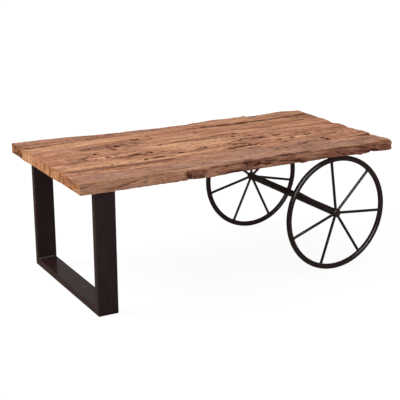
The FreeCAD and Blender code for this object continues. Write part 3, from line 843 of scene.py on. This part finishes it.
class PlankSkin:
    """The skin of one plank before it is worn, and all that wears it: which way
    each point faces, the marks near it and random fields. The marks' places
    wander, so that no mark is straight, and the furrows and dashes follow the
    grain, which parts round the knots."""

    def __init__(self, number, shares):
        chipped_middle, chipped_reach = (0.800, 0.250), (0.230, 0.085)
        slow_bend, slow_bend_across = 0.0040, 0.0024
        bend_across, bend_up = 0.0016, 0.0012
        foot_hang, thick_share = 0.0010, 0.92
        self.number = number
        self.place, self.out = rounded_box(number, shares)
        self.along_share, near_share, self.up_share = shares.T
        self.is_near = number == 0
        is_far = number == plank_count - 1
        self.upward = np.clip(self.out[:, 2], 0.0, 1.0)
        self.nearward = np.clip(-self.out[:, 1], 0.0, 1.0) * (self.is_near & (near_share < 0.5))
        self.farward = np.clip(self.out[:, 1], 0.0, 1.0) * (is_far & (near_share > 0.5))
        self.legward = np.clip(-self.out[:, 0], 0.0, 1.0)
        self.wheelward = np.clip(self.out[:, 0], 0.0, 1.0)
        self.sideward = smooth_step(self.nearward * 2.2)

        along, across, height = self.place.T
        wander = self.field(1, self.place, (0.030, 0.012, 0.010))
        self.slow_wander = self.field(2, self.place, (0.060, 0.020, 0.020))
        self.bent_along = along + slow_bend * self.slow_wander
        bent_across = across + slow_bend_across * self.slow_wander + bend_across * wander
        bent_height = (height + foot_hang) * thick_share + bend_up * wander
        self.cracks = lens_field(self.bent_along, bent_across, top_marks)
        self.cuts = lens_field(self.bent_along, bent_height, edge_marks)
        self.checks = lens_field(across, bent_height, end_marks)
        self.origin = parted_grain(self.bent_along, bent_across)

        lines = np.stack([along, self.origin, height], axis=-1)
        self.furrow = self.field(3, lines, (0.090, 0.0085, 0.008))
        self.fine_furrow = self.field(4, lines, (0.040, 0.0040, 0.004))
        self.dash = self.field(5, lines, (0.026, 0.0075, 0.01))
        self.swell = self.field(6, self.place, (0.120, 0.030, 0.5))
        worst = smooth_step(self.field(7, self.place, (0.16, 0.05, 0.05)) * 0.8 + 0.5)
        self.weather = 0.35 + 0.65 * worst
        off_along = (along - chipped_middle[0]) / chipped_reach[0]
        off_across = (across - chipped_middle[1]) / chipped_reach[1]
        self.chipped = smooth_step(1.6 - np.hypot(off_along, off_across))
        self.chips = self.field(8, self.place, (0.020, 0.010, 0.02))
        self.broken = 0.6 * self.field(9, self.place, (1, 0.0045, 0.0045))
        self.broken += 0.4 * self.field(10, self.place, (1, 0.010, 0.030))

        sides = np.stack([along, np.zeros_like(along), height], axis=-1)
        self.side_furrow = 0.6 * random_field(sides, (0.045, 1, 0.0052), 51)
        self.side_furrow += 0.5 * random_field(sides, (0.016, 1, 0.0034), 52)
        self.hollow = random_field(sides, (0.045, 1, 0.020), 53)

    def field(self, seed, place, cell):
        """A random field with a seed of this plank's own."""
        return random_field(place, cell, 100 * (self.number + 1) + seed)

    def sunk(self):
        """How far each point is sunk along its outward direction: by the marks,
        the furrows of the grain, chips and a slow swell, and on the leg end by
        the saw, which leaves the hard lines proud."""
        crack_share, cut_share, check_share = 0.4, 0.8, 0.4
        furrow_depth, fine_depth, swell_depth, chip_depth = 0.00035, 0.0002, 0.00045, 0.0016
        side_depth, hollow_depth, far_depth, saw_depth = 0.0008, 0.0011, 0.0010, 0.00015
        top = crack_share * self.cracks[0] - furrow_depth * self.weather * self.furrow
        top = top - swell_depth * self.swell - fine_depth * self.fine_furrow
        top += chip_depth * self.chipped * smooth_step(self.chips * 1.4)
        side = cut_share * self.cuts[0] - side_depth * self.side_furrow - hollow_depth * self.hollow
        sunk = self.upward * top + self.nearward * side - self.farward * far_depth * self.side_furrow
        return sunk + self.legward * (self.checks[0] * check_share + saw_depth * (1.0 - self.furrow))

    def worn(self):
        """The worn places: the sunk skin, with the feet of the leg end and of the
        near edge, the near corner of the wheel end worn round, and that end drawn
        in or out over its last tenth to where its table has it."""
        leg_foot_reach, near_foot_reach = 0.045, 0.018
        corner_fall, corner_share, corner_reach = 0.007, 0.035, 0.022
        drawn_share, splinter = 0.10, 0.0022
        along, across, height = self.place.T
        place = self.place - self.out * self.sunk()[:, None]
        low = smooth_step(1.0 - self.up_share * 1.6)
        place[:, 2] += from_table(across, leg_end_foot) * low * smooth_step(1.0 - along / leg_foot_reach)
        if self.is_near:
            foot = from_table(along, near_foot) * low
            place[:, 2] += foot * smooth_step(1.0 - across / near_foot_reach)
            corner = smooth_step((self.along_share - (1.0 - corner_share)) / corner_share)
            corner = corner * smooth_step(1.0 - across / corner_reach)
            place[:, 2] -= corner_fall * corner * smooth_step(self.up_share * 2.0 - 1.0)
        pull = from_table(across, wheel_end) - top_length + splinter * self.broken * (1.0 - self.upward)
        place[:, 0] += pull * smooth_step((self.along_share - (1.0 - drawn_share)) / drawn_share)
        return place + np.array([cad_box[0].x, cad_box[0].y, underside])

    def tone(self):
        """Warmth, from red brown at -1 to light orange at 1, grey, and darkness.
        They come from the patches, the rims of the marks, which are worn and carry
        a painted highlight, and, on the near side, its furrows and hollows: it
        turns from grey ridges at the leg end to red brown furrows past 0.35 m."""
        low_height, low_from, red_from, red_run = 0.020, 0.40, 0.35, 0.30
        along, across, height = self.place.T
        sideward, legward = self.sideward, self.legward
        ragged = 0.30 * self.furrow + 0.35 * self.slow_wander + 0.25 * self.dash
        tone = patch_field(self.bent_along, self.origin, ragged, tone_patches) * (1.0 - legward)[:, None]
        tone += patch_field(across, height, ragged, end_patches) * legward[:, None]
        side_tone = patch_field(along, height, ragged, side_patches)
        # Here and below, the marks' rims are made warmer: worn wood, and a painted highlight on their lit
        # lips.
        tone[:, 0] += 0.35 * self.upward * self.cracks[2]
        low_side = self.nearward * smooth_step(1.1 - height / low_height)
        low_side = low_side * smooth_step((along - low_from) / red_run)
        reddened = smooth_step((along - red_from) / red_run)
        side_warmth = -0.30 * low_side - sideward * (0.05 + reddened * (0.60 - 0.50 * self.hollow))
        tone[:, 0] = tone[:, 0] * (1.0 - sideward) + side_warmth
        tone[:, 0] += sideward * (side_tone[:, 0] + 0.30 * self.cuts[2]) + 0.30 * legward * self.checks[2]
        ridge_grey = 0.8 * (1.0 - reddened) * smooth_step(self.side_furrow * 1.5 - 0.1)
        furrow_grey = 0.5 * reddened * smooth_step(-self.side_furrow * 1.5 - 0.1)
        tone[:, 1] = tone[:, 1] * (1.0 - sideward) + sideward * (ridge_grey + furrow_grey)
        tone[:, 2] = self.darkness(tone[:, 2], side_tone[:, 2], reddened)
        return np.clip(tone, -1.0, 1.0)

    def darkness(self, on_top_and_end, on_side, reddened):
        """Darkness of all stains and painted shade together: 1 less the product of
        what each lets through. They lie on the top, the near side, the leg end,
        the far side and the wheel end, in that order. The darkness of the top's
        cracks is partly painted shade, deep in them."""
        worn_from, cut_run, side_run = 0.30, 0.06, 0.50
        arris_height, arris_run = 0.026, 0.006
        along, across, height = self.place.T
        upward, sideward, legward = self.upward, self.sideward, self.legward
        cut_strength = 0.62 + 0.30 * smooth_step((along - worn_from) / cut_run)
        below_arris = 1.0 - 0.55 * smooth_step((height - arris_height) / arris_run)
        stains_and_shade = [
            # Partly painted shade: the cracks' darkness stands for the shade deep in them as well as for
            # their own dark.
            upward * self.cracks[1],
            (upward + legward) * on_top_and_end,
            upward * 0.42 * self.weather * smooth_step(-1.6 * self.furrow - 0.30),
            upward * 0.38 * smooth_step(2.4 * self.dash - 1.1),
            upward * 0.35 * self.chipped * smooth_step(self.chips * 2.4 - 0.8),
            sideward * cut_strength * below_arris * self.cuts[1],
            sideward * on_side,
            sideward * (0.12 + 0.20 * reddened) * smooth_step(-self.side_furrow * 2.2 - 0.3),
            sideward * 0.12 * smooth_step((along - worn_from) / side_run),
            sideward * 0.14 * smooth_step(1.0 - height / arris_height),
            legward * self.checks[1],
            self.farward * 0.5 * smooth_step(-self.side_furrow * 1.6),
            self.wheelward * (0.45 + 0.45 * smooth_step(self.broken)),
        ]
        clear = np.ones(len(along))
        for stain_and_shade in stains_and_shade:
            clear *= 1.0 - np.clip(stain_and_shade, 0.0, 1.0)
        return 1.0 - clear

    def grain(self):
        """Places in the tree: along it, and from its pith across and up, which
        wanders slowly. No two planks are cut from the same length."""
        pith_across, pith_up = piths[self.number]
        along, across, height = self.place.T
        line = along_only(along)
        return np.stack([
            along + 0.37 * self.number,
            self.origin - pith_across * millimetre + 0.016 * self.field(11, line, (0.45, 1, 1)),
            height - pith_up * millimetre + 0.010 * self.field(12, line, (0.30, 1, 1)),
        ], axis=-1)

    def calm(self):
        """1 on the near side and the leg end, which show fewer pores and flecks."""
        return np.maximum(self.sideward, self.legward)


def old_wood():
    """Old brown wood, brushed and waxed. The rings are a wave of the distance
    from the pith, so they run as lines along the faces and as arcs over the sawn
    ends; fibres, streaks, dashes and slow patches vary them. The skin's tones
    add the light orange, red brown, grey and dark places, each as a layer that
    covers the colour below by a share."""
    ring_pitch, ring_wobble = 0.0075, 0.010
    brown = (0.400, 0.173, 0.097, 1.0)
    pale = (0.670, 0.350, 0.208, 1.0)
    latewood = (0.225, 0.090, 0.055, 1.0)
    orange = (0.760, 0.420, 0.240, 1.0)
    red_brown = (0.265, 0.092, 0.057, 1.0)
    grey = (0.500, 0.300, 0.235, 1.0)
    dark = (0.050, 0.015, 0.011, 1.0)
    sawn = (0.655, 0.290, 0.130, 1.0)
    sawn_dark = (0.370, 0.128, 0.056, 1.0)
    finish = Finish(bpy.data.materials.new("old_wood"))
    grain = finish.node("Attribute", {"attribute_name": "grain"}, output="Vector")
    tone = finish.node("Attribute", {"attribute_name": "tone"}, output="Vector")
    tone_parts = finish.node("SeparateXYZ", sockets={"Vector": tone})
    warmth, weathered, stain_and_shade = tone_parts.at("X"), tone_parts.at("Y"), tone_parts.at("Z")
    end = finish.node("Attribute", {"attribute_name": "sawn_end"}, output="Fac")
    calm = finish.node("Attribute", {"attribute_name": "calm"}, output="Fac")
    lively = 1.0 - calm * 0.55

    wobble = noise(grain, (3.0, 40.0, 40.0), 3.0)
    fibres = noise(grain, (14.0, 700.0, 700.0), 4.0, 0.65)
    streaks = noise(grain, (20.0, 95.0, 95.0), 4.0, 0.65)
    bands = noise(grain, (5.0, 34.0, 34.0), 3.0, 0.60)
    dashes = noise(grain, (46.0, 110.0, 110.0), 3.0, 0.65)
    ticks = noise(grain, (100.0, 230.0, 230.0), 2.0, 0.6)
    patches = noise(grain, (9.0, 22.0, 22.0), 2.0)
    parts = finish.node("SeparateXYZ", sockets={"Vector": grain})
    from_pith = (parts.at("Y") * parts.at("Y") + parts.at("Z") * parts.at("Z")) ** 0.5
    turns = (from_pith + wobble * ring_wobble) * (2.0 * math.pi / ring_pitch)
    wave = finish.node("Math", {"operation": "SINE"}, {0: turns}) * 0.5 + 0.5
    ring = ramp(wave, 0.35, 1.0)

    colour = blend(ramp(bands * 0.55 + streaks * 0.45, 0.40, 0.60), brown, pale)
    end_colour = blend(ring * 0.50 + ramp(bands, 0.4, 0.65) * 0.4, sawn, sawn_dark)
    colour = blend(end, colour, end_colour)
    flecks = ramp(dashes, 0.42, 0.30) * 0.70 + ramp(ticks, 0.42, 0.28) * 0.60
    pores = ramp(ticks, 0.56, 0.70) * 0.54 + ramp(dashes, 0.57, 0.70) * 0.64
    pores = pores * lively
    layers = [
        (ramp(warmth, 0.0, 1.0) * 0.80, orange),
        (ramp(warmth, 0.0, -1.0) * 0.85, red_brown),
        (weathered * 0.60, grey),
        (ring * 0.22, latewood),
        (ramp(fibres, 0.52, 0.78) * 0.40, latewood),
        (ramp(streaks, 0.54, 0.70) * 0.55, latewood),
        (flecks * lively, pale),
        (finish.node("Clamp", sockets={"Value": stain_and_shade * 0.96 + pores}), dark),
    ]
    for cover, tint in layers:
        colour = blend(cover, colour, tint)
    relief = fibres * 0.45 + streaks * 0.35 - ring * 0.20 - pores * 0.50
    return finish.surface({
        "Base Color": colour,
        "Roughness": 0.60 + fibres * 0.20,
        "Specular IOR Level": 0.0,
        "Coat Weight": patches * 0.04,
        "Coat Roughness": 0.50,
        "Normal": bumped(relief, 0.0030, 0.70),
    })


def plank_piece(number, material):
    """One plank of the top. Its points carry the grain places, tones and calmness
    of its skin, and its faces whether they lie on the sawn leg end."""
    width = plank_joints[number + 1] - plank_joints[number]
    thick = plank_boxes[number][1].z - underside
    outer = number in (0, plank_count - 1)
    step_along, end_rim, end_step = 0.0030, 0.0040, 0.0008
    step_across = 0.0017
    step_up, rim, rim_step = (0.0015, 0.0060, 0.0009) if outer else (0.0045, 0.0016, 0.0004)
    x_shares = spaced(top_length, step_along, end_rim, end_step)
    y_shares = spaced(width, step_across, rim, rim_step)
    z_shares = spaced(thick, step_up, rim, rim_step)
    shares, faces = lattice_skin(x_shares, y_shares, z_shares)
    skin = PlankSkin(number, shares)
    on_leg_end = (shares[faces][:, :, 0] == 0.0).all(axis=1)
    name = "plank_%d" % (number + 1)
    shown = piece("old_" + name, skin.worn(), faces, material, "old_wood")
    carried = [
        ("grain", "FLOAT_VECTOR", "POINT", "vector", skin.grain()),
        ("tone", "FLOAT_VECTOR", "POINT", "vector", skin.tone()),
        ("calm", "FLOAT", "POINT", "value", skin.calm()),
        ("sawn_end", "FLOAT", "FACE", "value", on_leg_end.astype(float)),
    ]
    for title, kind, domain, part, values in carried:
        attribute = shown.data.attributes.new(title, kind, domain)
        attribute.data.foreach_set(part, values.ravel())
    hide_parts(name)


wood = old_wood()
for number in range(plank_count):
    plank_piece(number, wood)


# The dowels across the plank joints: turned hardwood, glued, out of sight.

def dowel_wood():
    """Plain pale hardwood: fine straight fibres along Y and slow patches."""
    pale = (0.560, 0.400, 0.240, 1.0)
    deep = (0.420, 0.270, 0.145, 1.0)
    finish = Finish(bpy.data.materials.new("dowel_wood"))
    place = placed(finish)
    fibres = noise(place, (900.0, 40.0, 900.0), 3.0)
    patches = noise(place, (60.0, 20.0, 60.0), 2.0)
    return finish.surface({
        "Base Color": blend(fibres * 0.6 + patches * 0.4, pale, deep),
        "Roughness": 0.55 + fibres * 0.15,
        "Normal": bumped(fibres, 0.0002, 0.3),
    })


paint_node("plank_dowels", dowel_wood())


# The screws: pan heads, zinc plated and gone dull, driven up from below.

head_radius = 0.0050


def dull_zinc():
    """Dull zinc plating: grey metal, mottled, with a fine grain."""
    bright = (0.52, 0.52, 0.50, 1.0)
    dull = (0.30, 0.29, 0.27, 1.0)
    finish = Finish(bpy.data.materials.new("dull_zinc"))
    place = placed(finish)
    mottle = noise(place, (500.0, 500.0, 500.0), 4.0)
    return finish.surface({
        "Base Color": blend(ramp(mottle, 0.35, 0.65), dull, bright),
        "Metallic": 1.0,
        "Roughness": 0.32 + mottle * 0.25,
        "Normal": bumped(mottle, 0.0001, 0.3),
    })


def pan_head_screw():
    """A wood screw that points up from the origin, the underside of its head. Its
    profile is carried round the axis: the head's face rises from its middle as
    the square of the distance from the axis, and the shank's ridge climbs one
    pitch a turn. A cross of two arms is sunk into the face, deepest in the
    middle, with walls that slope over a short way."""
    head_height, face_curve, face_top = 0.0030, 80.0, -0.0005
    rim_foot, chamfer, neck_radius = -0.0010, 0.0001, 0.0026
    core_radius, ridge, pitch = 0.0019, 0.0006, 0.0022
    neck, tip_start, tip, run_out = 0.0030, 0.0210, 0.0250, 0.0030
    arm_half, arm_reach, recess, wall, arm_rise = 0.0006, 0.0026, 0.0016, 0.00025, 0.6
    columns = 48
    fine, fine_reach, climb_step = 0.0002, 0.0033, 0.0005
    face = np.append(np.arange(fine, fine_reach, fine), [0.0037, 0.0042, 0.0047])
    rim = np.array([
        [head_radius, rim_foot],
        [head_radius, -chamfer],
        [head_radius - chamfer, 0.0],
        [neck_radius, 0.0],
    ])
    climb = np.arange(fine, tip - fine, climb_step)
    radius = np.concatenate([face, rim[:, 0], np.full(len(climb), core_radius)])
    height = np.concatenate([-head_height + face_curve * face ** 2, rim[:, 1], climb])
    turn = np.linspace(0.0, 2 * math.pi, columns, endpoint=False)
    round_radius = np.repeat(radius[:, None], columns, axis=1)
    round_height = np.repeat(height[:, None], columns, axis=1)
    first = len(face) + len(rim)
    phase = 2 * math.pi * climb[:, None] / pitch - turn[None, :]
    threaded = smooth_step((climb - neck) / pitch) * smooth_step((tip - climb) / run_out)
    round_radius[first:] += threaded[:, None] * ridge * (0.5 + 0.5 * np.cos(phase)) ** 2
    round_radius[first:] *= np.clip((tip - climb) / (tip - tip_start), 0.0, 1.0)[:, None]
    x = round_radius * np.cos(turn)
    y = round_radius * np.sin(turn)
    cross = np.zeros_like(x)
    for run, off in ((np.abs(x), np.abs(y)), (np.abs(y), np.abs(x))):
        inside = smooth_step((arm_half - off) / wall + 0.5) * smooth_step((arm_reach - run) / wall + 0.5)
        cross = np.maximum(cross, inside * (1.0 - arm_rise * run / arm_reach))
    round_height += recess * cross * (round_height < face_top)
    points = np.stack([x, y, round_height], axis=-1).reshape(-1, 3)
    points = np.concatenate([points, [[0.0, 0.0, recess - head_height], [0.0, 0.0, tip]]])
    quads = grid_faces(len(radius), columns)
    column = np.arange(columns)
    following = (column + 1) % columns
    last = (len(radius) - 1) * columns
    low_pole = np.full(columns, len(points) - 2)
    faces = [
        quads[:, [0, 1, 2]],
        quads[:, [0, 2, 3]],
        np.stack([low_pole, following, column], axis=-1),
        np.stack([low_pole + 1, last + column, last + following], axis=-1),
    ]
    return points, np.concatenate(faces)


def driven_screws(name, node, places, material):
    """Copies of the screw at those places, each turned about its axis at random."""
    points, faces = pan_head_screw()
    rng = np.random.default_rng(len(places))
    screws = []
    for place in places:
        angle = rng.uniform(0.0, math.pi)
        cosine, sine = math.cos(angle), math.sin(angle)
        turned = points @ np.array([[cosine, sine, 0.0], [-sine, cosine, 0.0], [0.0, 0.0, 1.0]])
        screws.append((turned + np.array(place), faces))
    shown = piece(name, *joined(screws), material, "screw_steel")
    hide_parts(node)


def leg_screw_places():
    """A pair in each plank, halfway across the part of it between the uprights."""
    low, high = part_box("leg_plate_screws")
    inner_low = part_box("leg_upright_near")[1].y
    inner_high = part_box("leg_upright_far")[0].y
    underside_of_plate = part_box("leg_top_plate")[0].z
    places = []
    for box in plank_boxes:
        y = (max(box[0].y, inner_low) + min(box[1].y, inner_high)) / 2
        for x in (low.x + head_radius, high.x - head_radius):
            places.append((x, y, underside_of_plate))
    return places


def wheel_screw_places():
    """Three along each wheel plate, in the middle of its part inboard of the rim."""
    count = 3
    low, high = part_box("wheel_plate_screws")
    places = []
    for side, y in (("near", low.y + head_radius), ("far", high.y - head_radius)):
        plate_low, plate_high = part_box("wheel_plate_" + side)
        for number in range(count):
            x = plate_low.x + (plate_high.x - plate_low.x) * (number + 0.5) / count
            places.append((x, y, plate_low.z))
    return places


zinc = dull_zinc()
driven_screws("leg_screws", "leg_plate_screws", leg_screw_places(), zinc)
driven_screws("wheel_screws", "wheel_plate_screws", wheel_screw_places(), zinc)
